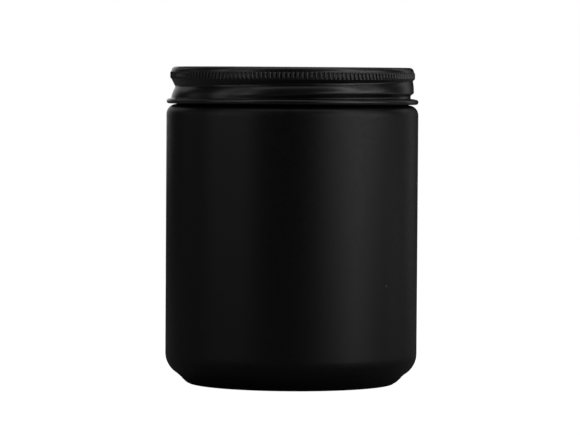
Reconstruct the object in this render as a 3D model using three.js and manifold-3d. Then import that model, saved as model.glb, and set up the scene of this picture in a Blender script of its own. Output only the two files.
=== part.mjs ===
// A straight-sided glass candle jar with a one-piece metal screw lid, in millimetres, +Z up.
// The origin is the centre of the ring that the jar stands on, and everything is built round the Z axis.
// The jar's thread and the lid's rolled thread are right-handed and run on helices of one pitch, so the
// lid clears the jar all the way as it turns and rises.

import * as THREE from 'three';
import { mergeVertices } from 'three/addons/utils/BufferGeometryUtils.js';
import Module from 'manifold-3d';

// Faceting: flats round a large piece, flats round a small one, and flats in a quarter of a small arc.
const SIDES = 64;
const SMALL_SIDES = 24;
const ARC_STEPS = 4;

// Jar: outside.
const BODY_R = 36.5;
const JAR_H = 89.9;
const SHOULDER_R = 2.9;
const HEEL_R = 6.8;
const HEEL_CORNER_ANGLE = 60;
const HEEL_CORNER_Z = 2.9;
const FOOT_INSET = 2.5;
const FOOT_RISE = 0.6;
const FOOT_CORNER = 0.8;
const RING_W = 2.2;
const PUSH_UP = 2;

// Jar: inside and finish. The finish is the threaded neck that stands on the shoulder.
const GLASS_WALL = 2.9;
const FLOOR_Z = 5.5;
const FLOOR_CORNER_R = 7;
const NECK_INSET = 3.05;
const NECK_WALL = 2.55;
const FINISH_H = 9.1;
const INNER_SHOULDER_H = 5;
const RIM_CORNER = 0.7;

// Thread: one start. The jar's crest is a rounded ridge, and the lid's is a groove rolled from outside.
const PITCH = 25.4 / 6;
const JAR_THREAD_TURNS = 1.15;
const JAR_THREAD_DROP = 2.4;
const JAR_THREAD_DEPTH = 1;
const JAR_THREAD_CREST = 0.3;
const JAR_THREAD_FLANK = 0.9;
const FLANK_CLEARANCE = 0.3;
const CREST_CLEARANCE = 0.35;
const BEAD_CLEARANCE = 0.25;
const RUN_OUT_ANGLE = 60;
const SINK = 0.4;
const END_SINK = 0.1;

// Lid.
const SHEET = 0.35;
const PANEL_DROP = 0.4;
const PANEL_STEP_W = 0.6;
const LID_RIM_W = 1.05;
const LID_CORNER_R = 1.3;
const KNURL_DROP = 1.35;
const KNURL_H = 2.2;
const KNURL_RIBS = 168;
const KNURL_OUT = 0.3;
const KNURL_DEPTH = 0.25;
const SKIRT_H = 10.7;
const CURL_R = 0.72;
const FLARE_R = 0.35;
const CURL_END_ANGLE = 160;
const GROOVE_BOTTOM = 0.35;
const GROOVE_UPPER_FLANK = 1.25;
const GROOVE_LOWER_FLANK = 1.65;
const GROOVE_DROP = 5.5;
const GROOVE_FROM = -120;
const GROOVE_TO = 380;

// Liner, candle and wick.
const LINER_T = 0.9;
const LINER_SIDE_CLEARANCE = 0.5;
const SEAT_GAP = 0.05;
const POUR_GAP = 0.1;
const HEADSPACE = 16.9;
const WICK_R = 1.1;
const WICK_ABOVE_WAX = 6.5;
const TAB_R = 10;
const TAB_T = 0.3;
const TAB_NECK_H = 6;
const TAB_NECK_WALL = 0.4;
const STICKER_R = 9.5;
const STICKER_T = 0.8;

// What follows from them.
const BORE_R = BODY_R - GLASS_WALL;
const NECK_R = BODY_R - NECK_INSET;
const MOUTH_R = NECK_R - NECK_WALL;
const SHOULDER_Z = JAR_H - FINISH_H;
const RING_OUTER_R = BODY_R - HEEL_R * (1 - Math.cos(rad(HEEL_CORNER_ANGLE))) - FOOT_INSET - FOOT_CORNER;
const RING_INNER_R = RING_OUTER_R - RING_W;
const THREAD_CREST_R = NECK_R + JAR_THREAD_DEPTH;
const SKIRT_INNER_R = THREAD_CREST_R + CREST_CLEARANCE;
const SKIRT_R = SKIRT_INNER_R + SHEET;
const GROOVE_DEPTH = JAR_THREAD_DEPTH + CREST_CLEARANCE - BEAD_CLEARANCE;
const PANEL_STEP_R = SKIRT_R - LID_CORNER_R - LID_RIM_W;
const PANEL_R = PANEL_STEP_R - PANEL_STEP_W;
const LINER_Z = JAR_H + SEAT_GAP;
const PANEL_Z = LINER_Z + LINER_T + SEAT_GAP + SHEET;
const LID_TOP = PANEL_Z + PANEL_DROP;
const LID_BOTTOM = LID_TOP - SKIRT_H;
const FLARE_Z = LID_BOTTOM + 2 * CURL_R + FLARE_R;
const WAX_TOP = JAR_H - HEADSPACE;
const STICKER_Z = FLOOR_Z + SEAT_GAP;
const TAB_Z = STICKER_Z + STICKER_T + SEAT_GAP;
const WICK_TOP = WAX_TOP + WICK_ABOVE_WAX;

function rad(degrees) {
  return degrees * Math.PI / 180;
}

// Points of an arc about (r, z), from one angle to another in degrees, with 0 pointing away from the axis.
function arc(r, z, radius, from, to, steps = ARC_STEPS) {
  const points = [];
  for (let i = 0; i <= steps; i += 1) {
    const angle = rad(from + (to - from) * i / steps);
    points.push([r + radius * Math.cos(angle), z + radius * Math.sin(angle)]);
  }
  return points;
}

// A three.js geometry as a manifold solid: welded, and without the flat triangles that a pole leaves.
const wasm = await Module();
wasm.setup();

function solid(geometry) {
  const bare = geometry.clone();
  bare.deleteAttribute('normal');
  bare.deleteAttribute('uv');
  const welded = mergeVertices(bare);
  const index = welded.index.array;
  const triangles = [];
  for (let i = 0; i < index.length; i += 3) {
    const [a, b, c] = [index[i], index[i + 1], index[i + 2]];
    if (a !== b && b !== c && c !== a) {
      triangles.push(a, b, c);
    }
  }
  return new wasm.Manifold(new wasm.Mesh({
    numProp: 3,
    vertProperties: new Float32Array(welded.attributes.position.array),
    triVerts: new Uint32Array(triangles),
  }));
}

// A profile of (radius, height) points turned about the Z axis.
function turned(profile, sides = SIDES) {
  const points = profile.map(([r, z]) => new THREE.Vector2(r, z));
  const geometry = new THREE.LatheGeometry(points, sides);
  geometry.rotateX(Math.PI / 2);
  return solid(geometry);
}

// A profile that closes on itself: its first point is repeated at its end.
function turnedRing(profile, sides = SIDES) {
  return turned([...profile, profile[0]], sides);
}

// A helix about the Z axis, from its top down, whose section stays in the plane through the axis: x outwards
// and y up. It swings out by shift over the last RUN_OUT_ANGLE at each end, so that what it carries fades.
class Helix extends THREE.Curve {
  constructor(radius, height, from, to, shift) {
    super();
    Object.assign(this, { radius, height, from, to, shift });
  }

  angle(t) {
    return this.to + (this.from - this.to) * t;
  }

  getPoint(t, target = new THREE.Vector3()) {
    const angle = this.angle(t);
    const inside = Math.min(angle - this.from, this.to - angle) / RUN_OUT_ANGLE;
    const r = this.radius + this.shift * (1 - THREE.MathUtils.smoothstep(inside, 0, 1));
    return target.set(r * Math.cos(rad(angle)), r * Math.sin(rad(angle)), this.height(angle));
  }

  computeFrenetFrames(segments) {
    const frames = { tangents: [], normals: [], binormals: [] };
    for (let i = 0; i <= segments; i += 1) {
      const angle = rad(this.angle(this.getUtoTmapping(i / segments)));
      frames.tangents.push(this.getTangentAt(i / segments));
      frames.normals.push(new THREE.Vector3(Math.cos(angle), Math.sin(angle), 0));
      frames.binormals.push(new THREE.Vector3(0, 0, 1));
    }
    return frames;
  }
}

// A section of (outwards, up) points carried along a helix.
function swept(section, helix) {
  const shape = new THREE.Shape(section.map(([x, y]) => new THREE.Vector2(x, y)));
  const steps = Math.round(SIDES * (helix.to - helix.from) / 360);
  return solid(new THREE.ExtrudeGeometry(shape, { steps, extrudePath: helix }));
}

// Height of the lid's rolled groove at an angle round the axis. The closed lid stands with the groove's
// middle GROOVE_DROP under its top at 180 degrees.
function grooveHeight(angle) {
  return LID_TOP - GROOVE_DROP + PITCH * (angle - 180) / 360;
}

// The groove's inside is the outside moved in by the sheet: half its flat bottom, up and down.
const upperSlope = GROOVE_UPPER_FLANK / GROOVE_DEPTH;
const lowerSlope = GROOVE_LOWER_FLANK / GROOVE_DEPTH;
const beadUp = GROOVE_BOTTOM + SHEET * Math.tan(Math.atan(1 / upperSlope) / 2);
const beadDown = GROOVE_BOTTOM + SHEET * Math.tan(Math.atan(1 / lowerSlope) / 2);

// The jar's thread rides above the lid's bead, with FLANK_CLEARANCE between their flanks at the crest.
function threadHeight(angle) {
  const flankAtCrest = beadUp + (GROOVE_DEPTH - CREST_CLEARANCE) * upperSlope;
  return grooveHeight(angle) + flankAtCrest + FLANK_CLEARANCE + JAR_THREAD_CREST;
}

function jarThread() {
  const base = JAR_THREAD_CREST + (JAR_THREAD_DEPTH + SINK) * JAR_THREAD_FLANK;
  const section = [
    [-SINK - JAR_THREAD_DEPTH, -base],
    [0, -JAR_THREAD_CREST],
    [0, JAR_THREAD_CREST],
    [-SINK - JAR_THREAD_DEPTH, base],
  ];
  const top = 180 + 360 * (JAR_H - JAR_THREAD_DROP - threadHeight(180)) / PITCH;
  const bottom = top - 360 * JAR_THREAD_TURNS;
  const shift = -JAR_THREAD_DEPTH - END_SINK;
  return swept(section, new Helix(THREAD_CREST_R, threadHeight, bottom, top, shift));
}

// From the middle of the push-up out to the ring and foot, up the outside, and down the inside.
function jarOutline() {
  const heelZ = HEEL_CORNER_Z + HEEL_R * Math.sin(rad(HEEL_CORNER_ANGLE));
  const rimZ = JAR_H - RIM_CORNER;
  return [
    ...pushUp(),
    [RING_OUTER_R, 0],
    [RING_OUTER_R + FOOT_CORNER, FOOT_RISE],
    ...arc(BODY_R - HEEL_R, heelZ, HEEL_R, -HEEL_CORNER_ANGLE, 0, 2 * ARC_STEPS),
    ...arc(BODY_R - SHOULDER_R, SHOULDER_Z - SHOULDER_R, SHOULDER_R, 0, 90),
    [NECK_R, SHOULDER_Z],
    ...arc(NECK_R - RIM_CORNER, rimZ, RIM_CORNER, 0, 90, 2),
    ...arc(MOUTH_R + RIM_CORNER, rimZ, RIM_CORNER, 90, 180, 2),
    ...innerShoulder(),
    ...arc(BORE_R - FLOOR_CORNER_R, FLOOR_Z + FLOOR_CORNER_R, FLOOR_CORNER_R, 0, -90),
    [0, FLOOR_Z],
  ];
}

// The push-up under the jar is a shallow dome: its height falls with the square of the radius.
function pushUp() {
  const points = [];
  for (let i = 0; i <= ARC_STEPS; i += 1) {
    const out = i / ARC_STEPS;
    points.push([RING_INNER_R * out, PUSH_UP * (1 - out * out)]);
  }
  return points;
}

// The inside widens from the mouth to the bore in one smooth S under the shoulder.
function innerShoulder() {
  const points = [];
  for (let i = 0; i <= ARC_STEPS; i += 1) {
    const down = i / ARC_STEPS;
    const r = MOUTH_R + (BORE_R - MOUTH_R) * THREE.MathUtils.smoothstep(down, 0, 1);
    points.push([r, SHOULDER_Z - INNER_SHOULDER_H * down]);
  }
  return points;
}

function makeJar() {
  return turned(jarOutline()).add(jarThread());
}

// The lid's sheet: down its inside to the end of the curl, and back up its outside.
function lidProfile() {
  const cornerR = SKIRT_R - LID_CORNER_R;
  const cornerZ = LID_TOP - LID_CORNER_R;
  const curlR = BODY_R - CURL_R;
  const curlZ = LID_BOTTOM + CURL_R;
  const curlEnd = CURL_END_ANGLE - 360;
  const flareR = SKIRT_R + FLARE_R;
  return [
    [0, PANEL_Z - SHEET],
    [PANEL_R, PANEL_Z - SHEET],
    [PANEL_STEP_R, LID_TOP - SHEET],
    ...arc(cornerR, cornerZ, LID_CORNER_R - SHEET, 90, 0, 2),
    ...arc(flareR, FLARE_Z, FLARE_R + SHEET, 180, 270, 2),
    ...arc(curlR, curlZ, CURL_R - SHEET, 90, curlEnd, 8),
    ...arc(curlR, curlZ, CURL_R, curlEnd, 0, 7),
    ...arc(curlR, curlZ, CURL_R, 0, 90, 3).slice(1),
    ...arc(flareR, FLARE_Z, FLARE_R, 270, 180, 2),
    ...arc(cornerR, cornerZ, LID_CORNER_R, 0, 90),
    [PANEL_STEP_R, LID_TOP],
    [PANEL_R, PANEL_Z],
    [0, PANEL_Z],
  ];
}

// A wedge wound round the lid: a flat bottom at radius, and flanks that open outwards.
function woundWedge(radius, down, up) {
  const depth = GROOVE_DEPTH + SINK;
  const section = [
    [depth, -down - depth * lowerSlope],
    [depth, up + depth * upperSlope],
    [0, up],
    [0, -down],
  ];
  const shift = GROOVE_DEPTH + END_SINK;
  return swept(section, new Helix(radius, grooveHeight, GROOVE_FROM, GROOVE_TO, shift));
}

// A plain disc of the lid's inside, to keep a wound wedge within.
function core(radius, bottom, top) {
  return turned([[0, bottom], [radius, bottom], [radius, top], [0, top]]);
}

// The rolled thread is a bead inside and a groove outside on one helix, so the sheet stays even. Both stop
// above the flare, where the bead turns out to meet it.
function rolledBead() {
  const wedge = woundWedge(SKIRT_INNER_R - GROOVE_DEPTH, beadDown, beadUp);
  return wedge.intersect(core(SKIRT_INNER_R + SHEET / 3, FLARE_Z - SHEET, LID_TOP - LID_CORNER_R));
}

function rolledGroove() {
  const wedge = woundWedge(SKIRT_R - GROOVE_DEPTH, GROOVE_BOTTOM, GROOVE_BOTTOM);
  return wedge.intersect(core(BODY_R, FLARE_Z, LID_TOP));
}

// The ribs stand on the skirt as a band that is rooted in the sheet.
function knurlBand() {
  const outline = [];
  for (let i = 0; i < 2 * KNURL_RIBS; i += 1) {
    const angle = Math.PI * i / KNURL_RIBS;
    const r = SKIRT_R + KNURL_OUT - (i % 2) * KNURL_DEPTH;
    outline.push(new THREE.Vector2(r * Math.cos(angle), r * Math.sin(angle)));
  }
  const shape = new THREE.Shape(outline);
  shape.holes.push(new THREE.Path().absarc(0, 0, SKIRT_R - SHEET / 3, 0, 2 * Math.PI, true));
  const options = { depth: KNURL_H, bevelEnabled: false, curveSegments: SIDES / 2 };
  const geometry = new THREE.ExtrudeGeometry(shape, options);
  geometry.translate(0, 0, LID_TOP - KNURL_DROP - KNURL_H);
  return solid(geometry);
}

function makeLid() {
  return turned(lidProfile()).add(rolledBead()).subtract(rolledGroove()).add(knurlBand());
}

function makeLiner() {
  const r = SKIRT_INNER_R - LINER_SIDE_CLEARANCE;
  return turned([[0, LINER_Z], [r, LINER_Z], [r, LINER_Z + LINER_T], [0, LINER_Z + LINER_T]]);
}

// The wax fills the jar up to WAX_TOP. It is one ring: it closes round the wick, its tab and the sticker.
function makeWax() {
  const holeR = WICK_R + POUR_GAP;
  const neckR = WICK_R + POUR_GAP + TAB_NECK_WALL + POUR_GAP;
  const footR = Math.max(TAB_R, STICKER_R) + POUR_GAP;
  const tabTop = TAB_Z + TAB_T + POUR_GAP;
  const neckTop = TAB_Z + TAB_NECK_H + POUR_GAP;
  const sideR = BORE_R - POUR_GAP;
  const floor = FLOOR_Z + POUR_GAP;
  const corner = FLOOR_CORNER_R;
  return turnedRing([
    [footR, floor],
    ...arc(sideR - corner, floor + corner, corner, -90, 0),
    [sideR, WAX_TOP],
    [holeR, WAX_TOP],
    [holeR, neckTop],
    [neckR, neckTop],
    [neckR, tabTop],
    [footR, tabTop],
  ]);
}

function makeWick() {
  const foot = TAB_Z + SEAT_GAP;
  return turned([[0, foot], [WICK_R, foot], [WICK_R, WICK_TOP], [0, WICK_TOP]], SMALL_SIDES);
}

function makeTab() {
  const holeR = WICK_R + POUR_GAP;
  const neckR = holeR + TAB_NECK_WALL;
  return turnedRing([
    [holeR, TAB_Z],
    [TAB_R, TAB_Z],
    [TAB_R, TAB_Z + TAB_T],
    [neckR, TAB_Z + TAB_T],
    [neckR, TAB_Z + TAB_NECK_H],
    [holeR, TAB_Z + TAB_NECK_H],
  ], SMALL_SIDES);
}

function makeSticker() {
  const top = STICKER_Z + STICKER_T;
  return turned([[0, STICKER_Z], [STICKER_R, STICKER_Z], [STICKER_R, top], [0, top]], SMALL_SIDES);
}

// A finished solid as a named mesh with its own material.
function piece(name, body, color, roughness, metalness) {
  const made = body.getMesh();
  const geometry = new THREE.BufferGeometry();
  geometry.setAttribute('position', new THREE.BufferAttribute(made.vertProperties, 3));
  geometry.setIndex(new THREE.BufferAttribute(made.triVerts, 1));
  geometry.computeVertexNormals();
  const mesh = new THREE.Mesh(geometry, new THREE.MeshStandardMaterial({ color, roughness, metalness }));
  mesh.name = name;
  return mesh;
}

const candle = new THREE.Group();
candle.add(piece('jar_glass', makeJar(), 0x151517, 0.55, 0));
candle.add(piece('lid_shell', makeLid(), 0x131314, 0.35, 0));
candle.add(piece('lid_liner', makeLiner(), 0xf0efea, 0.8, 0));
candle.add(piece('wax', makeWax(), 0xf3ecd9, 0.45, 0));
candle.add(piece('wick', makeWick(), 0xe9e2cf, 0.9, 0));
candle.add(piece('wick_tab', makeTab(), 0xb9bcc0, 0.3, 1));
candle.add(piece('wick_sticker', makeSticker(), 0xf4f4f2, 0.8, 0));

export default candle;
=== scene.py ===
# A round candle jar in matt black sprayed glass with a black metal screw lid, in a plain bright studio.
# The file follows the object as it is put together: the jar, the candle in it, and the lid that closes it.

import math

import bpy
import numpy as np
from mathutils import Matrix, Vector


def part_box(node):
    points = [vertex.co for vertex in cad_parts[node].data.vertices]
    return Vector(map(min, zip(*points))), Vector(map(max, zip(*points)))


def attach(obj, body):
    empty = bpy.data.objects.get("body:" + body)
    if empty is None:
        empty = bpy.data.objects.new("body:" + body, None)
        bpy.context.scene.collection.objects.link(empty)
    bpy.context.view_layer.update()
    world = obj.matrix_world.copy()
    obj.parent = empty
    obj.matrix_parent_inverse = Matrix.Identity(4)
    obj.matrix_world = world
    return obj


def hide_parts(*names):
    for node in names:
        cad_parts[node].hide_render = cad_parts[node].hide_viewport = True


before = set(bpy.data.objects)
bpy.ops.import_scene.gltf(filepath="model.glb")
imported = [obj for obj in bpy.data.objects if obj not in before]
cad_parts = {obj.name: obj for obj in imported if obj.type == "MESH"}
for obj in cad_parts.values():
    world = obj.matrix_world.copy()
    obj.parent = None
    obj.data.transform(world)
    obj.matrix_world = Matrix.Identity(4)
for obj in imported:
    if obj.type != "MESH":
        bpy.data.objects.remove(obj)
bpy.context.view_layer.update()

MM = 0.001

# ---------------------------------------------------------------------------------------------------------
# The jar is one blown glass, sprayed matt black all over its outside up to the rim. Inside, the glass is bare
# and glossy, and shows the black through it. It stands on a ring of stipples round a shallow push-up, and
# carries a single rounded thread on its neck.
jar_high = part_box("jar_glass")[1]
body_r = jar_high.x
rim_z = jar_high.z
neck_inset = 3.05 * MM
neck_wall = 2.55 * MM
neck_r = body_r - neck_inset
mouth_r = neck_r - neck_wall
shoulder_z = rim_z - 9.1 * MM
shoulder_r = 2.9 * MM
heel_r = 6.8 * MM
heel_angle = 60
foot_height = 2.9 * MM
foot_slope_run = 3.3 * MM
heel_z = foot_height + heel_r * math.sin(math.radians(heel_angle))
heel_corner_r = body_r - heel_r * (1 - math.cos(math.radians(heel_angle)))
ring_out_r = heel_corner_r - foot_slope_run
ring_in_r = ring_out_r - 2.2 * MM
push_up = 2 * MM
body_wall = 2.9 * MM
bore_r = body_r - body_wall
floor_z = 5.5 * MM
floor_corner_r = 7 * MM

pitch = 25.4 * MM / 6
lid_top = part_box("lid_shell")[1].z
groove_below_top = 5.5 * MM
thread_over_groove = 1.93 * MM
thread_top_angle = 130
thread_bottom_angle = -284
thread_depth = 1 * MM
thread_run_out = 60
stipple_count = 24
stipple_height = 0.2 * MM
jar_columns = 480


def ramp(low, high, x):
    """Rises from 0 at low to 1 at high: t * t * (3 - 2 * t), with t the share of the way, from 0 to 1."""
    t = np.clip((x - low) / (high - low), 0, 1)
    return t * t * (3 - 2 * t)


def arc(r, z, radius, start, end, steps):
    """Points of a circle's arc round (r, z): r + radius * cos(a), z + radius * sin(a), a in even steps."""
    a = np.radians(np.linspace(start, end, steps))
    return np.stack([r + radius * np.cos(a), z + radius * np.sin(a)], axis=1)


def run(start, end, steps):
    """Points evenly along the straight line from start to end, both (radius, height)."""
    t = np.linspace(0, 1, steps)[:, None]
    return np.array(start) + (np.array(end) - np.array(start)) * t


def turned(profile, columns):
    """Radius, height and angle of every point when a profile is turned about Z: the profile's value down the
    rows, and the angle from 0 to one full turn along the columns. All three are (rows, columns) arrays."""
    angle = np.linspace(0, 2 * math.pi, columns, endpoint=False)
    ones = np.ones(columns)
    all_rows = np.ones(len(profile))
    return np.outer(profile[:, 0], ones), np.outer(profile[:, 1], ones), np.outer(all_rows, angle)


def skin(name, r, z, angle, ring=False):
    """A closed mesh over a grid of points (r * cos(angle), r * sin(angle), z). Columns join round the axis. A
    profile that ends on the axis has its first and last rows drawn into one point each, and a ring's last row
    joins its first."""
    rows, columns = r.shape
    points = np.stack([r * np.cos(angle), r * np.sin(angle), z], axis=2).reshape(-1, 3)
    across = np.arange(columns)
    beside = np.roll(across, -1)
    below = np.arange(rows if ring else rows - 1)[:, None]
    above = (below + 1) % rows
    quads = np.stack([below * columns + across, below * columns + beside,
                      above * columns + beside, above * columns + across], axis=2)
    if not ring:
        last = rows - 1
        points[:columns] = points[:columns].mean(axis=0)
        points[last * columns:] = points[last * columns:].mean(axis=0)
        foot = np.stack([np.zeros(columns, int), columns + beside, columns + across], axis=1)
        inner = (last - 1) * columns
        head = np.stack([inner + across, inner + beside, np.full(columns, last * columns)], axis=1)
        faces = foot.tolist() + quads[1:-1].reshape(-1, 4).tolist() + head.tolist()
        used = np.r_[0, columns:last * columns + 1]
        place = np.zeros(rows * columns, int)
        place[used] = np.arange(len(used))
        faces = [[int(place[i]) for i in face] for face in faces]
        points = points[used]
    else:
        faces = quads.reshape(-1, 4).tolist()
    mesh = bpy.data.meshes.new(name)
    mesh.from_pydata(points.tolist(), [], faces)
    mesh.shade_smooth()
    mesh.update()
    piece = bpy.data.objects.new(name, mesh)
    bpy.context.scene.collection.objects.link(piece)
    return piece


def groove_height(degrees):
    """Height of the lid's rolled groove round the axis: it climbs one pitch a turn, counter-clockwise."""
    return lid_top - groove_below_top + pitch * (degrees - 180) / 360


def thread_ridge(z, angle):
    """How far the jar's thread stands out at each point: full depth within a half crest of its helix, easing
    to nothing over the flank, and fading over the run-out at each end. Of the turns, the highest counts."""
    ridge = np.zeros_like(z)
    for turn in (-1, 0, 1):
        degrees = np.degrees(angle) + 360 * turn
        off = np.abs(z - groove_height(degrees) - thread_over_groove)
        from_bottom = ramp(0, thread_run_out, degrees - thread_bottom_angle)
        fade = from_bottom * ramp(0, thread_run_out, thread_top_angle - degrees)
        ridge = np.maximum(ridge, thread_depth * fade * (1 - ramp(0.2 * MM, 1.25 * MM, off)))
    return ridge


ring_r = (ring_out_r + ring_in_r) / 2
dome = np.linspace(0, 1, 9)
outside = np.vstack([
    np.stack([ring_in_r * dome, push_up * (1 - dome ** 2)], axis=1)[:-1],
    arc(ring_in_r + 0.3 * MM, 0.3 * MM, 0.3 * MM, 180, 270, 4),
    run((ring_r, 0), (ring_out_r - 0.2 * MM, 0), 4),
    run((ring_out_r, 0.05 * MM), (ring_out_r + 0.8 * MM, 0.6 * MM), 5),
    run((ring_out_r + 0.95 * MM, 0.74 * MM), (heel_corner_r - 0.1 * MM, 2.8 * MM), 9),
    arc(body_r - heel_r, heel_z, heel_r, -heel_angle, 0, 22),
    run((body_r, heel_z + 2 * MM), (body_r, shoulder_z - shoulder_r - 1 * MM), 22),
    arc(body_r - shoulder_r, shoulder_z - shoulder_r, shoulder_r, 0, 86, 12),
    arc(neck_r + 0.35 * MM, shoulder_z + 0.35 * MM, 0.35 * MM, 270, 180, 4),
    run((neck_r, shoulder_z + 0.5 * MM), (neck_r, rim_z - 0.75 * MM), 52),
    arc(neck_r - 0.7 * MM, rim_z - 0.7 * MM, 0.7 * MM, 0, 90, 7),
])
inner_turn = np.linspace(0, 1, 9)
inside = np.vstack([
    arc(mouth_r + 0.7 * MM, rim_z - 0.7 * MM, 0.7 * MM, 90, 180, 7),
    np.stack([mouth_r + (bore_r - mouth_r) * ramp(0, 1, inner_turn),
              shoulder_z - 5 * MM * inner_turn], axis=1),
    run((bore_r, shoulder_z - 7 * MM), (bore_r, floor_z + floor_corner_r + 1 * MM), 8),
    arc(bore_r - floor_corner_r, floor_z + floor_corner_r, floor_corner_r, 0, -90, 12),
    run((bore_r - floor_corner_r - 3 * MM, floor_z), (0, floor_z), 5),
])
profile = np.vstack([outside, inside])
r, z, angle = turned(profile, jar_columns)
is_neck = (r > neck_r - 0.01 * MM) & (z > shoulder_z + 0.4 * MM)
r = r + np.where(is_neck, thread_ridge(z, angle), 0)

# The stipples: small bars across the foot's slope, each a narrow cosine swell that sinks within a few
# degrees.
first_stipple = -93.8
bar = np.maximum(0, np.cos(stipple_count * (angle - math.radians(first_stipple)))) ** 6
past_ring = r - ring_out_r
on_foot = ramp(0, 0.5 * MM, past_ring) * (1 - ramp(1.9 * MM, 2.5 * MM, past_ring)) * (z < 4 * MM)
r = r + stipple_height * bar * on_foot
jar = skin("jar_glass_sprayed", r, z, angle)
row_of_face = np.repeat(np.arange(len(profile) - 1), jar_columns)
jar.data.polygons.foreach_set("material_index", (row_of_face >= len(outside)).astype(np.int32))
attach(jar, "jar")
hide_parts("jar_glass")


def add_input(group, name, value, kind="NodeSocketFloat"):
    """A named input of a shader node group, with its usual value."""
    socket = group.interface.new_socket(name=name, in_out="INPUT", socket_type=kind)
    socket.default_value = value


def make_patches():
    """Soft patches over a piece: noise that is Scale across gives a value from Low to High, and a colour that
    is Dark where the value is low and Light where it is high. Colour and roughness use it."""
    group = bpy.data.node_groups.new("patches", "ShaderNodeTree")
    add_input(group, "Scale", 100.0)
    add_input(group, "Detail", 4.0)
    add_input(group, "Low", 0.0)
    add_input(group, "High", 1.0)
    add_input(group, "Dark", (0, 0, 0, 1), "NodeSocketColor")
    add_input(group, "Light", (1, 1, 1, 1), "NodeSocketColor")
    group.interface.new_socket(name="Value", in_out="OUTPUT", socket_type="NodeSocketFloat")
    group.interface.new_socket(name="Color", in_out="OUTPUT", socket_type="NodeSocketColor")
    nodes, wires = group.nodes, group.links
    given, put = nodes.new("NodeGroupInput"), nodes.new("NodeGroupOutput")
    place, noise = nodes.new("ShaderNodeTexCoord"), nodes.new("ShaderNodeTexNoise")
    spread, tint = nodes.new("ShaderNodeMapRange"), nodes.new("ShaderNodeMix")
    spread.inputs["From Min"].default_value = 0.3
    spread.inputs["From Max"].default_value = 0.7
    tint.data_type = "RGBA"
    wires.new(place.outputs["Object"], noise.inputs["Vector"])
    wires.new(given.outputs["Scale"], noise.inputs["Scale"])
    wires.new(given.outputs["Detail"], noise.inputs["Detail"])
    wires.new(noise.outputs["Fac"], spread.inputs["Value"])
    wires.new(given.outputs["Low"], spread.inputs["To Min"])
    wires.new(given.outputs["High"], spread.inputs["To Max"])
    wires.new(noise.outputs["Fac"], tint.inputs["Factor"])
    wires.new(given.outputs["Dark"], tint.inputs["A"])
    wires.new(given.outputs["Light"], tint.inputs["B"])
    wires.new(spread.outputs["Result"], put.inputs["Value"])
    wires.new(tint.outputs["Result"], put.inputs["Color"])
    return group


def make_grain():
    """A fine surface grain: two noises, one three times finer than the other, added into one Height."""
    group = bpy.data.node_groups.new("fine_grain", "ShaderNodeTree")
    add_input(group, "Scale", 2000.0)
    group.interface.new_socket(name="Height", in_out="OUTPUT", socket_type="NodeSocketFloat")
    nodes, wires = group.nodes, group.links
    given, put = nodes.new("NodeGroupInput"), nodes.new("NodeGroupOutput")
    place = nodes.new("ShaderNodeTexCoord")
    coarse, fine = nodes.new("ShaderNodeTexNoise"), nodes.new("ShaderNodeTexNoise")
    finer, total = nodes.new("ShaderNodeMath"), nodes.new("ShaderNodeMath")
    finer.operation = "MULTIPLY"
    finer.inputs[1].default_value = 3
    total.operation = "ADD"
    wires.new(given.outputs["Scale"], finer.inputs[0])
    wires.new(place.outputs["Object"], coarse.inputs["Vector"])
    wires.new(place.outputs["Object"], fine.inputs["Vector"])
    wires.new(given.outputs["Scale"], coarse.inputs["Scale"])
    wires.new(finer.outputs["Value"], fine.inputs["Scale"])
    wires.new(coarse.outputs["Fac"], total.inputs[0])
    wires.new(fine.outputs["Fac"], total.inputs[1])
    wires.new(total.outputs["Value"], put.inputs["Height"])
    return group


def make_dust():
    """Stray specks of dust: cells of the given Scale, of which only the Share with the highest random value
    hold a speck, a dot at the cell's middle. The Mask is 1 on a speck and 0 elsewhere."""
    group = bpy.data.node_groups.new("dust_specks", "ShaderNodeTree")
    add_input(group, "Scale", 300.0)
    add_input(group, "Share", 0.1)
    add_input(group, "Size", 0.1)
    group.interface.new_socket(name="Mask", in_out="OUTPUT", socket_type="NodeSocketFloat")
    nodes, wires = group.nodes, group.links
    given, put = nodes.new("NodeGroupInput"), nodes.new("NodeGroupOutput")
    place, cells = nodes.new("ShaderNodeTexCoord"), nodes.new("ShaderNodeTexVoronoi")
    chance, chosen = nodes.new("ShaderNodeSeparateColor"), nodes.new("ShaderNodeMath")
    near, both = nodes.new("ShaderNodeMath"), nodes.new("ShaderNodeMath")
    chosen.operation = "LESS_THAN"
    near.operation = "LESS_THAN"
    both.operation = "MULTIPLY"
    wires.new(place.outputs["Object"], cells.inputs["Vector"])
    wires.new(given.outputs["Scale"], cells.inputs["Scale"])
    wires.new(cells.outputs["Color"], chance.inputs["Color"])
    wires.new(chance.outputs["Red"], chosen.inputs[0])
    wires.new(given.outputs["Share"], chosen.inputs[1])
    wires.new(cells.outputs["Distance"], near.inputs[0])
    wires.new(given.outputs["Size"], near.inputs[1])
    wires.new(chosen.outputs["Value"], both.inputs[0])
    wires.new(near.outputs["Value"], both.inputs[1])
    wires.new(both.outputs["Value"], put.inputs["Mask"])
    return group


patches, fine_grain, dust_specks = make_patches(), make_grain(), make_dust()


def new_material(name):
    """An empty material with its shader: returns the material, its node tree and its Principled shader."""
    material = bpy.data.materials.new(name)
    material.use_nodes = True
    return material, material.node_tree, material.node_tree.nodes["Principled BSDF"]


def place_group(tree, group, **values):
    """Puts a node group into a tree and sets its inputs, whose names are given in lower case."""
    node = tree.nodes.new("ShaderNodeGroup")
    node.node_tree = group
    for name, value in values.items():
        node.inputs[name.capitalize()].default_value = value
    return node


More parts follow.
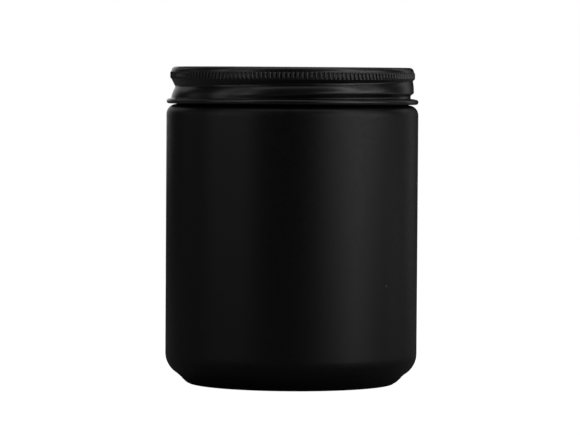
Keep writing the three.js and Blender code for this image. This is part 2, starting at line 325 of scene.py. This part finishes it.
def add_bump(tree, shader, height, depth, strength=1.0):
    """Raises the surface by a height from 0 to 1, depth metres high, into the shader's Normal."""
    bump = tree.nodes.new("ShaderNodeBump")
    bump.inputs["Distance"].default_value = depth
    bump.inputs["Strength"].default_value = strength
    tree.links.new(height, bump.inputs["Height"])
    tree.links.new(bump.outputs["Normal"], shader.inputs["Normal"])


def dusty_colour(tree, shader, under, dust, colour):
    """The base colour: the varying colour underneath, with the dust's colour on its specks."""
    mix = tree.nodes.new("ShaderNodeMix")
    mix.data_type = "RGBA"
    mix.inputs["B"].default_value = colour
    tree.links.new(dust, mix.inputs["Factor"])
    tree.links.new(under, mix.inputs["A"])
    tree.links.new(mix.outputs["Result"], shader.inputs["Base Color"])


coat, tree, shader = new_material("matt_black_spray")
shade = place_group(tree, patches, scale=60, detail=6, dark=(0.0018, 0.0018, 0.0019, 1),
                    light=(0.0034, 0.0034, 0.0036, 1))
specks = place_group(tree, dust_specks, scale=260, share=0.012, size=0.07)
dusty_colour(tree, shader, shade.outputs["Color"], specks.outputs["Mask"], (0.12, 0.12, 0.12, 1))
sheen = place_group(tree, patches, scale=900, detail=3, low=0.37, high=0.45)
tree.links.new(sheen.outputs["Value"], shader.inputs["Roughness"])
grain = place_group(tree, fine_grain, scale=2600)
add_bump(tree, shader, grain.outputs["Height"], 0.006 * MM, 0.6)

bare, tree, shader = new_material("glass_over_black")
shader.inputs["IOR"].default_value = 1.52
shade = place_group(tree, patches, scale=35, detail=3, dark=(0.003, 0.0032, 0.0035, 1),
                    light=(0.008, 0.0085, 0.009, 1))
tree.links.new(shade.outputs["Color"], shader.inputs["Base Color"])
gloss = place_group(tree, patches, scale=50, detail=4, low=0.03, high=0.09)
tree.links.new(gloss.outputs["Value"], shader.inputs["Roughness"])
ripple = place_group(tree, fine_grain, scale=45)
add_bump(tree, shader, ripple.outputs["Height"], 0.05 * MM, 0.4)

jar.data.materials.append(coat)
jar.data.materials.append(bare)

# ---------------------------------------------------------------------------------------------------------
# The sticker is a round of white foam tape under the wick's foot. The pour would float the foot off the
# glass without it.
sticker_low, sticker_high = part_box("wick_sticker")
sticker_r = sticker_high.x
edge = 0.12 * MM
round_of_tape = np.vstack([
    run((0, sticker_low.z), (sticker_r - 0.4 * MM, sticker_low.z), 5),
    arc(sticker_r - edge, sticker_low.z + edge, edge, -90, 0, 4),
    arc(sticker_r - edge, sticker_high.z - edge, edge, 0, 90, 4),
    run((sticker_r - 0.4 * MM, sticker_high.z), (0, sticker_high.z), 5),
])
sticker = skin("wick_sticker_tape", *turned(round_of_tape, 96))
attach(sticker, "jar")
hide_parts("wick_sticker")


def cell_bump(tree, shader, scale, depth):
    """The open pores of cut foam: cells of one size, whose walls stand up from their middles."""
    place, cells = tree.nodes.new("ShaderNodeTexCoord"), tree.nodes.new("ShaderNodeTexVoronoi")
    cells.inputs["Scale"].default_value = scale
    tree.links.new(place.outputs["Object"], cells.inputs["Vector"])
    add_bump(tree, shader, cells.outputs["Distance"], depth)


tape, tree, shader = new_material("white_foam_tape")
shade = place_group(tree, patches, scale=250, detail=3, dark=(0.74, 0.74, 0.71, 1), light=(0.9, 0.9, 0.88, 1))
tree.links.new(shade.outputs["Color"], shader.inputs["Base Color"])
matt = place_group(tree, patches, scale=700, low=0.72, high=0.9)
tree.links.new(matt.outputs["Value"], shader.inputs["Roughness"])
cell_bump(tree, shader, 3500, 0.03 * MM)
sticker.data.materials.append(tape)

# ---------------------------------------------------------------------------------------------------------
# The sustainer is a disc of thin bright steel with two pressed rings, drawn up into a neck in the middle.
# The neck is crimped from three sides on to the wick.
tab_low, tab_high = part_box("wick_tab")
tab_r = tab_high.x
tab_t = 0.3 * MM
neck_in_r = 1.2 * MM
neck_out_r = neck_in_r + 0.4 * MM
tab_columns = 120
flat_top = tab_low.z + tab_t
root = 0.5 * MM
pressed_rings = (4.6 * MM, 7.6 * MM)
pressed_height = 0.12 * MM
pressed_width = 0.45 * MM
crimp_depth = 0.22 * MM
tab_top_side = np.vstack([
    run((tab_r - 0.1 * MM, flat_top), (neck_out_r + root + 0.1 * MM, flat_top), 40),
    arc(neck_out_r + root, flat_top + root, root, 270, 180, 6),
    run((neck_out_r, flat_top + root + 0.3 * MM), (neck_out_r, tab_high.z - 0.12 * MM), 14),
])
tab_under_side = np.vstack([
    run((neck_in_r, tab_high.z), (neck_in_r, tab_low.z + root + 0.2 * MM), 14),
    arc(neck_in_r + root, tab_low.z + root, root, 180, 270, 5),
    run((neck_in_r + root + 0.2 * MM, tab_low.z), (tab_r, tab_low.z), 40),
    run((tab_r, tab_low.z + 0.1 * MM), (tab_r, flat_top - 0.05 * MM), 3),
])
r, z, angle = turned(np.vstack([tab_top_side, tab_under_side]), tab_columns)
z = z + pressed_height * sum(np.exp(-((r - ring) / pressed_width) ** 2) for ring in pressed_rings)
crimp = crimp_depth * np.maximum(0, np.cos(3 * angle)) ** 3
on_neck = (r < neck_out_r + 0.01 * MM) & (r > neck_in_r + 0.1 * MM)
r = r - np.where(on_neck, crimp * ramp(flat_top + 2 * MM, flat_top + 3 * MM, z), 0)
sustainer = skin("wick_sustainer", r, z, angle, ring=True)
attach(sustainer, "jar")
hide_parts("wick_tab")

steel, tree, shader = new_material("pressed_steel")
shader.inputs["Metallic"].default_value = 1
shade = place_group(tree, patches, scale=300, dark=(0.46, 0.47, 0.48, 1), light=(0.66, 0.67, 0.68, 1))
tree.links.new(shade.outputs["Color"], shader.inputs["Base Color"])
brushed = place_group(tree, patches, scale=1400, low=0.22, high=0.38)
tree.links.new(brushed.outputs["Value"], shader.inputs["Roughness"])
scratches = place_group(tree, fine_grain, scale=1800)
add_bump(tree, shader, scratches.outputs["Height"], 0.01 * MM, 0.5)
sustainer.data.materials.append(steel)

# ---------------------------------------------------------------------------------------------------------
# The wick is a round braid of eight cotton strands, stiffened by a dip in wax. It stands in the crimped neck
# and is trimmed just above the candle.
wick_low, wick_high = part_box("wick")
wick_r = wick_high.x
strands = 4
braid_lead = 5 * MM
strand_relief = 0.16
wick_columns = 64


def braid_radius(z, angle):
    """The radius of a round braid: two families of strands wind opposite ways, each a cosine of the angle and
    the height. The one that stands higher at a point is seen, and a checker swaps them as they weave."""
    turn = 2 * math.pi * z / braid_lead
    left = np.cos(strands * (angle + turn))
    right = np.cos(strands * (angle - turn))
    over = 0.15 * np.sin(strands * angle) * np.sin(strands * turn)
    return 1 - strand_relief * (1 - np.maximum(left + over, right - over))


tip = 0.35 * MM
wick_rows = np.vstack([
    run((0, wick_low.z), (wick_r * 0.8, wick_low.z), 4),
    run((wick_r, wick_low.z + 0.1 * MM), (wick_r, wick_high.z - tip), 300),
    arc(wick_r - tip, wick_high.z - tip, tip, 20, 80, 4),
    run((wick_r * 0.5, wick_high.z), (0, wick_high.z), 3),
])
r, z, angle = turned(wick_rows, wick_columns)
r = r * np.clip(braid_radius(z, angle), 0.6, 1)
cut = ramp(wick_high.z - tip, wick_high.z, z)
z = z - cut * 0.25 * MM * (0.5 + 0.5 * np.sin(7 * angle + 1)) * ramp(0.1 * wick_r, wick_r, r)
wick = skin("wick_braid", r, z, angle)
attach(wick, "jar")
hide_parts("wick")

cotton, tree, shader = new_material("waxed_cotton")
shade = place_group(tree, patches, scale=1500, detail=5, dark=(0.62, 0.55, 0.4, 1),
                    light=(0.86, 0.82, 0.7, 1))
tree.links.new(shade.outputs["Color"], shader.inputs["Base Color"])
waxed = place_group(tree, patches, scale=800, low=0.5, high=0.75)
tree.links.new(waxed.outputs["Value"], shader.inputs["Roughness"])
shader.inputs["Sheen Weight"].default_value = 0.3
shader.inputs["Subsurface Weight"].default_value = 0.15
shader.inputs["Subsurface Scale"].default_value = 0.5 * MM
fibres = place_group(tree, fine_grain, scale=7000)
add_bump(tree, shader, fibres.outputs["Height"], 0.04 * MM, 0.8)
wick.data.materials.append(cotton)

# ---------------------------------------------------------------------------------------------------------
# The candle is poured wax that fills the jar round the wick, its sustainer and the sticker. As it set, it
# drew up the glass and the wick and sank a little between them, and its top froze slightly uneven.
wax_low, wax_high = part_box("wax")
wax_r = wax_high.x
wax_top = wax_high.z
wax_floor = wax_low.z
hole_r = wick_r + 0.1 * MM
cavity_r = tab_r + 0.1 * MM
cavity_z = flat_top + 0.25 * MM
sleeve_r = neck_out_r + 0.1 * MM
sleeve_z = tab_high.z + 0.1 * MM
wax_sink = 0.75 * MM
wax_columns = 192
top_r = np.r_[wax_r - 0.02 * MM, wax_r - np.geomspace(0.1, 6, 12) * MM,
              np.linspace(wax_r - 8 * MM, hole_r + 6 * MM, 22), hole_r + np.geomspace(5, 0.1, 12) * MM]
wax_rows = np.vstack([
    run((cavity_r, wax_floor), (wax_r - floor_corner_r - 1 * MM, wax_floor), 6),
    arc(wax_r - floor_corner_r, wax_floor + floor_corner_r, floor_corner_r, -90, 0, 12),
    run((wax_r, wax_floor + floor_corner_r + 2 * MM), (wax_r, wax_top - 0.3 * MM), 10),
    np.stack([top_r, np.full(len(top_r), wax_top)], axis=1),
    run((hole_r, wax_top - 0.3 * MM), (hole_r, sleeve_z), 8),
    run((sleeve_r, sleeve_z), (sleeve_r, cavity_z), 4),
    run((sleeve_r + 1 * MM, cavity_z), (cavity_r, cavity_z), 5),
])
r, z, angle = turned(wax_rows, wax_columns)
from_glass, from_wick = wax_r - r, r - hole_r
sink = wax_sink * (1 - np.exp(-from_glass / (0.9 * MM))) * (1 - 0.6 * np.exp(-from_wick / (0.8 * MM)))
x, y = r * np.cos(angle), r * np.sin(angle)
uneven = 0.06 * MM * (np.sin(210 * x + 1.3) * np.sin(170 * y + 0.4) + np.sin(90 * x - 130 * y))
is_top = z > wax_top - 0.01 * MM
calm = ramp(0, 4 * MM, from_glass) * ramp(0, 4 * MM, from_wick)
z = np.where(is_top, z - sink + uneven * calm, z)
wax = skin("candle_wax_pour", r, z, angle, ring=True)
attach(wax, "jar")
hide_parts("wax")

soy, tree, shader = new_material("soft_cream_wax")
frost = place_group(tree, patches, scale=55, detail=7, dark=(0.80, 0.72, 0.55, 1),
                    light=(0.92, 0.87, 0.74, 1))
tree.links.new(frost.outputs["Color"], shader.inputs["Base Color"])
skin_gloss = place_group(tree, patches, scale=120, detail=5, low=0.3, high=0.5)
tree.links.new(skin_gloss.outputs["Value"], shader.inputs["Roughness"])
shader.inputs["Subsurface Weight"].default_value = 0.35
shader.inputs["Subsurface Radius"].default_value = (1.0, 0.75, 0.45)
shader.inputs["Subsurface Scale"].default_value = 3 * MM
crystals = place_group(tree, fine_grain, scale=420)
add_bump(tree, shader, crystals.outputs["Height"], 0.03 * MM, 0.5)
wax.data.materials.append(soy)

# ---------------------------------------------------------------------------------------------------------
# The liner is a disc of white closed-cell foam that lies loose in the lid. It seals on the jar's rim, which
# has pressed a shallow ring into its underside.
liner_low, liner_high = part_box("lid_liner")
liner_r = liner_high.x
edge = 0.2 * MM
pressed_r = (mouth_r + neck_r) / 2
dent_depth = 0.09 * MM
disc = np.vstack([
    run((0, liner_low.z), (26 * MM, liner_low.z), 8),
    run((27 * MM, liner_low.z), (liner_r - 0.3 * MM, liner_low.z), 40),
    arc(liner_r - edge, liner_low.z + edge, edge, -80, 0, 4),
    arc(liner_r - edge, liner_high.z - edge, edge, 0, 80, 4),
    run((liner_r - 0.3 * MM, liner_high.z), (0, liner_high.z), 8),
])
r, z, angle = turned(disc, 160)
off_rim = r - pressed_r
dent = dent_depth * ramp(-1.35 * MM, -0.9 * MM, off_rim) * (1 - ramp(0.9 * MM, 1.3 * MM, off_rim))
z = z + np.where(z < liner_low.z + 0.01 * MM, dent, 0)
liner = skin("lid_liner_foam", r, z, angle)
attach(liner, "liner")
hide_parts("lid_liner")

foam, tree, shader = new_material("closed_cell_foam")
shade = place_group(tree, patches, scale=180, detail=4, dark=(0.72, 0.71, 0.67, 1),
                    light=(0.88, 0.87, 0.84, 1))
tree.links.new(shade.outputs["Color"], shader.inputs["Base Color"])
matt = place_group(tree, patches, scale=600, low=0.65, high=0.85)
tree.links.new(matt.outputs["Value"], shader.inputs["Roughness"])
cell_bump(tree, shader, 2600, 0.04 * MM)
liner.data.materials.append(foam)

# ---------------------------------------------------------------------------------------------------------
# The lid is drawn from one disc of tinplate, satin black outside and clear-lacquered inside. Its side has a
# band of ribs for grip and one rolled thread, and its edge is flared and curled inwards. Low on its front and
# right the thread runs out as a neck just above the flare.
lid_low, lid_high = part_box("lid_shell")
sheet = 0.35 * MM
curl_r = 0.72 * MM
curl_reach = 0.63 * MM
skirt_r = lid_high.x - curl_r - curl_reach
corner_r = 1.3 * MM
panel_step_r = skirt_r - corner_r - 1.05 * MM
panel_r = panel_step_r - 0.6 * MM
panel_z = lid_top - 0.4 * MM
rib_count = 168
rib_top = lid_top - 1.35 * MM
rib_bottom = rib_top - 2.2 * MM
rib_height = 0.38 * MM
gap_below_skirt = 0.06 * MM
groove_deep = 1.08 * MM
inside_ease = 0.1 * MM
curl_centre_r = body_r - curl_r
curl_centre_z = lid_low.z + curl_r
flare_z = lid_low.z + 1.7 * MM
columns_per_rib = 5
lid_columns = columns_per_rib * rib_count


def rib_swell(z, angle):
    """How far the grip ribs stand out: a rounded bar for each rib with a narrow gap beside it. The bars' ends
    are rounded because the band's top and bottom pull in where the bar's side falls away."""
    across = 0.5 + 0.5 * np.cos(rib_count * angle)
    end_pull = 0.35 * MM * (1 - across)
    within = ramp(0, 0.3 * MM, rib_top - end_pull - z) * ramp(0, 0.3 * MM, z - rib_bottom - end_pull)
    return within * (rib_height * ramp(0.1, 0.95, across) - gap_below_skirt)


def groove_depth(z, angle):
    """How deep the rolled thread lies at each point. Its upper flank runs straight in from the ribs to a
    narrow upright bottom, and its lower flank comes back out as (1 - t) to a power near 2, steep at first.
    Along its late turn, the lower one, the upper flank is a smooth neck that meets the flare. The depth fades
    out at both ends of the helix, and of the turns the deepest counts."""
    depth = np.zeros_like(z)
    for turn in (-1, 0, 1):
        degrees = np.degrees(angle) + 360 * turn
        off = z - groove_height(degrees)
        late = 1 - ramp(20, 120, degrees)
        last = 1 - ramp(-80, -10, degrees)
        early = 1 - ramp(180, 240, degrees)
        foot = (-0.38 + 0.2 * early - 0.35 * late) * MM
        to_ribs = rib_bottom - groove_height(degrees)
        straight = np.clip((to_ribs - off) / np.maximum(to_ribs - foot, 0.3 * MM), 0, 1)
        neck_edge = (0.4 + 0.8 * last) * MM
        neck = 1 - ramp(foot, neck_edge, off)
        upper = straight * (1 - late) + neck * late
        bottom = foot - (0.35 + 1.2 * late) * MM
        flank = (2.6 + 0.3 * early) * MM
        lower = (1 - np.clip((bottom - off) / flank, 0, 1)) ** (2 - 0.6 * early)
        deep = groove_deep - 0.16 * MM * late
        fade = ramp(-128, -70, degrees) * (1 - ramp(280, 395, degrees))
        depth = np.maximum(depth, deep * fade * upper * lower)
    below_ribs = 1 - ramp(rib_bottom - 0.1 * MM, rib_bottom + 0.02 * MM, z)
    above_flare = ramp(flare_z - 0.25 * MM, flare_z + 0.05 * MM, z)
    return depth * below_ribs * above_flare


rib_z = np.r_[rib_top + 0.02 * MM, rib_top - np.array([0.06, 0.2, 0.4, 0.7, 1.1, 1.5, 1.8, 2.0, 2.14]) * MM]
flare_turn = np.linspace(0, 1, 7)
flare_r = skirt_r + (curl_centre_r - 0.1 * MM - skirt_r) * ramp(0, 1, flare_turn) ** 1.1
flare_line = flare_z + (curl_centre_z + curl_r - flare_z) * flare_turn
shell_outside = np.vstack([
    run((0, panel_z), (panel_r - 1 * MM, panel_z), 5),
    np.stack([panel_r + (panel_step_r - panel_r) * np.linspace(0, 1, 6),
              panel_z + (lid_top - panel_z) * ramp(0, 1, np.linspace(0, 1, 6))], axis=1),
    arc(skirt_r - corner_r, lid_top - corner_r, corner_r, 90, 0, 8),
    np.stack([np.full(len(rib_z), skirt_r), rib_z], axis=1),
    run((skirt_r, rib_bottom - 0.05 * MM), (skirt_r, flare_z + 0.05 * MM), 34),
    np.stack([flare_r, flare_line], axis=1)[:-1],
    arc(curl_centre_r, curl_centre_z, curl_r, 95, -170, 17),
])
in_r = skirt_r - sheet
shell_inside = np.vstack([
    arc(curl_centre_r, curl_centre_z, curl_r - sheet, -170, 80, 8),
    np.stack([flare_r[::2] - sheet * 0.7, flare_line[::2] - sheet * 0.7], axis=1)[::-1],
    run((in_r, flare_z), (in_r, rib_bottom - 0.1 * MM), 11),
    run((in_r, rib_bottom + 0.6 * MM), (in_r, lid_top - corner_r - 0.2 * MM), 2),
    arc(skirt_r - corner_r, lid_top - corner_r, corner_r - sheet, 0, 90, 4),
    run((panel_step_r, lid_top - sheet), (panel_r, panel_z - sheet), 3),
    run((panel_r - 4 * MM, panel_z - sheet), (0, panel_z - sheet), 3),
])
lid_rows = np.vstack([shell_outside, shell_inside])
r, z, angle = turned(lid_rows, lid_columns)
rows_outside = np.arange(len(lid_rows))[:, None] < len(shell_outside)
on_skirt = np.abs(np.where(rows_outside, skirt_r, in_r) - r) < 0.01 * MM
r = r + np.where(on_skirt & rows_outside, rib_swell(z, angle), 0)
groove = groove_depth(z, angle)
inner_groove = np.maximum(groove - inside_ease, 0)
r = r - np.where(on_skirt, np.where(rows_outside, groove, inner_groove), 0)
lid = skin("screw_lid_shell", r[::-1], z[::-1], angle)
row_of_face = np.repeat(np.arange(len(lid_rows) - 1), lid_columns)
lid.data.polygons.foreach_set("material_index", (row_of_face < len(shell_inside)).astype(np.int32))

# The sides and the floor of each gap between two ribs are crisp, and the rest of the lid is smooth.
face_z = z[::-1][row_of_face, 0]
face_r = lid_rows[::-1, 0][row_of_face]
in_gap = np.isin(np.tile(np.arange(lid_columns) % columns_per_rib, len(lid_rows) - 1), (1, 2, 3))
on_band = (face_z > rib_bottom + 0.05 * MM) & (face_z < rib_top - 0.05 * MM) & (face_r > skirt_r - 0.01 * MM)
lid.data.polygons.foreach_set("use_smooth", ~(in_gap & on_band))
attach(lid, "lid")
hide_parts("lid_shell")

lacquer, tree, shader = new_material("satin_black_lacquer")
shader.inputs["IOR"].default_value = 1.7
shade = place_group(tree, patches, scale=80, detail=5, dark=(0.004, 0.004, 0.0042, 1),
                    light=(0.008, 0.0078, 0.0077, 1))
specks = place_group(tree, dust_specks, scale=320, share=0.01, size=0.08)
dusty_colour(tree, shader, shade.outputs["Color"], specks.outputs["Mask"], (0.15, 0.15, 0.15, 1))
satin = place_group(tree, patches, scale=160, detail=5, low=0.27, high=0.32)
tree.links.new(satin.outputs["Value"], shader.inputs["Roughness"])
orange_peel = place_group(tree, fine_grain, scale=900)
add_bump(tree, shader, orange_peel.outputs["Height"], 0.0025 * MM, 0.5)

tinplate, tree, shader = new_material("lacquered_tinplate")
shader.inputs["Metallic"].default_value = 1
shade = place_group(tree, patches, scale=70, detail=5, dark=(0.5, 0.48, 0.42, 1), light=(0.68, 0.66, 0.6, 1))
tree.links.new(shade.outputs["Color"], shader.inputs["Base Color"])
drawn = place_group(tree, patches, scale=500, low=0.2, high=0.34)
tree.links.new(drawn.outputs["Value"], shader.inputs["Roughness"])
draw_marks = place_group(tree, fine_grain, scale=1200)
add_bump(tree, shader, draw_marks.outputs["Height"], 0.01 * MM, 0.5)

lid.data.materials.append(lacquer)
lid.data.materials.append(tinplate)

# ---------------------------------------------------------------------------------------------------------
# The camera stands level with the lid and looks slightly down, from about a metre, through a long lens. It
# leans a third of a degree to one side.
camera_distance = 1.0416
camera_height = 0.088
look_down = 2.197
lean = 0.371
camera = bpy.data.objects.new("camera", bpy.data.cameras.new("camera"))
camera.data.lens = 222.9
camera.data.clip_end = 20
tilt = Matrix.Rotation(math.radians(90 - look_down), 4, "X")
pan = Matrix.Rotation(math.radians(0.028), 4, "Z")
roll = Matrix.Rotation(math.radians(lean), 4, "Z")
camera.matrix_world = Matrix.Translation((0, -camera_distance, camera_height)) @ pan @ tilt @ roll
bpy.context.scene.collection.objects.link(camera)
bpy.context.scene.camera = camera

# ---------------------------------------------------------------------------------------------------------
# The studio is a white paper floor in a white room. Soft boxes stand in a ring round the object, brightest in
# front at the right and less bright at the left, with none in the middle, and a wide box hangs overhead.
ring_distance = 0.6
box_width = 0.16


def soft_box(name, azimuth, low, high, brightness):
    """An upright soft light in the ring, from low to high, at an azimuth of 0 towards the camera and 90 to
    its right. It faces the axis, and gives pi * area * brightness watts, so its face looks that bright."""
    data = bpy.data.lights.new(name, "AREA")
    data.shape = "RECTANGLE"
    data.size = box_width
    data.size_y = high - low
    data.energy = math.pi * data.size * data.size_y * brightness
    light = bpy.data.objects.new(name, data)
    turn = math.radians(azimuth)
    light.location = (ring_distance * math.sin(turn), -ring_distance * math.cos(turn), (low + high) / 2)
    light.rotation_euler = (math.pi / 2, 0, turn)
    light.visible_camera = False
    bpy.context.scene.collection.objects.link(light)


soft_box("right_front_edge", 35, 0.06, 0.25, 1.0)
soft_box("right_front_inner", 49, 0.06, 0.25, 1.03)
soft_box("right_front_low", 58, 0.0, 0.06, 2.3)
soft_box("right_front_high", 58, 0.25, 0.9, 1.63)
soft_box("right_front_outer", 70, 0.06, 0.25, 1.3)
soft_box("right_side", 85, 0.06, 0.25, 0.85)
soft_box("right_side_high", 85, 0.25, 0.9, 0.56)
soft_box("right_side_low", 105, 0.0, 0.06, 0.83)
soft_box("right_back_low", 135, 0.0, 0.25, 0.35)
soft_box("right_back_high", 135, 0.25, 0.9, 0.48)
soft_box("left_front", -45, 0.06, 0.25, 0.78)
soft_box("left_front_high", -45, 0.25, 0.9, 0.4)
soft_box("left_side", -70, 0.06, 0.25, 0.63)
soft_box("left_side_high", -70, 0.25, 0.9, 0.5)
soft_box("left_back", -105, 0.06, 0.25, 0.2)
soft_box("left_back_high", -135, 0.25, 0.9, 0.4)
soft_box("left_rim", -155, 0.06, 0.25, 0.6)
soft_box("back_low", -170, 0.06, 0.25, 1.5)
soft_box("back_high", 175, 0.25, 0.9, 0.8)

overhead = bpy.data.lights.new("overhead", "AREA")
overhead.size = 1.0
overhead_brightness = 0.5
overhead.energy = math.pi * overhead.size ** 2 * overhead_brightness
overhead_box = bpy.data.objects.new("overhead", overhead)
overhead_box.location = (0, 0, 0.95)
overhead_box.visible_camera = False
bpy.context.scene.collection.objects.link(overhead_box)

# To the eye the floor is as white as the room behind it. What it throws back on the jar is a soft grey.
floor_mesh = bpy.data.meshes.new("studio_floor")
reach = 60
floor_mesh.from_pydata([(-reach, -reach, 0), (reach, -reach, 0), (reach, reach, 0), (-reach, reach, 0)],
                       [], [(0, 1, 2, 3)])
floor = bpy.data.objects.new("studio_floor", floor_mesh)
bpy.context.scene.collection.objects.link(floor)
paper, tree, shader = new_material("white_paper")
shader.inputs["Base Color"].default_value = (0.2, 0.2, 0.2, 1)
shader.inputs["Roughness"].default_value = 0.9
glow = tree.nodes.new("ShaderNodeEmission")
glow.inputs["Strength"].default_value = 1.0
lifted, either = tree.nodes.new("ShaderNodeAddShader"), tree.nodes.new("ShaderNodeMixShader")
path = tree.nodes.new("ShaderNodeLightPath")
tree.links.new(shader.outputs["BSDF"], lifted.inputs[0])
tree.links.new(glow.outputs["Emission"], lifted.inputs[1])
tree.links.new(path.outputs["Is Camera Ray"], either.inputs["Fac"])
tree.links.new(shader.outputs["BSDF"], either.inputs[1])
tree.links.new(lifted.outputs["Shader"], either.inputs[2])
tree.links.new(either.outputs["Shader"], tree.nodes["Material Output"].inputs["Surface"])
floor_mesh.materials.append(paper)

world = bpy.data.worlds.new("white_room")
world.use_nodes = True
bpy.context.scene.world = world
tree = world.node_tree
seen = tree.nodes["Background"]
seen.inputs["Color"].default_value = (1, 1, 1, 1)
lit = tree.nodes.new("ShaderNodeBackground")
lit.inputs["Color"].default_value = (1, 1, 1, 1)
lit.inputs["Strength"].default_value = 0.02
path, both = tree.nodes.new("ShaderNodeLightPath"), tree.nodes.new("ShaderNodeMixShader")
tree.links.new(path.outputs["Is Camera Ray"], both.inputs["Fac"])
tree.links.new(lit.outputs["Background"], both.inputs[1])
tree.links.new(seen.outputs["Background"], both.inputs[2])
tree.links.new(both.outputs["Shader"], tree.nodes["World Output"].inputs["Surface"])
bpy.context.scene.view_settings.view_transform = "Standard"
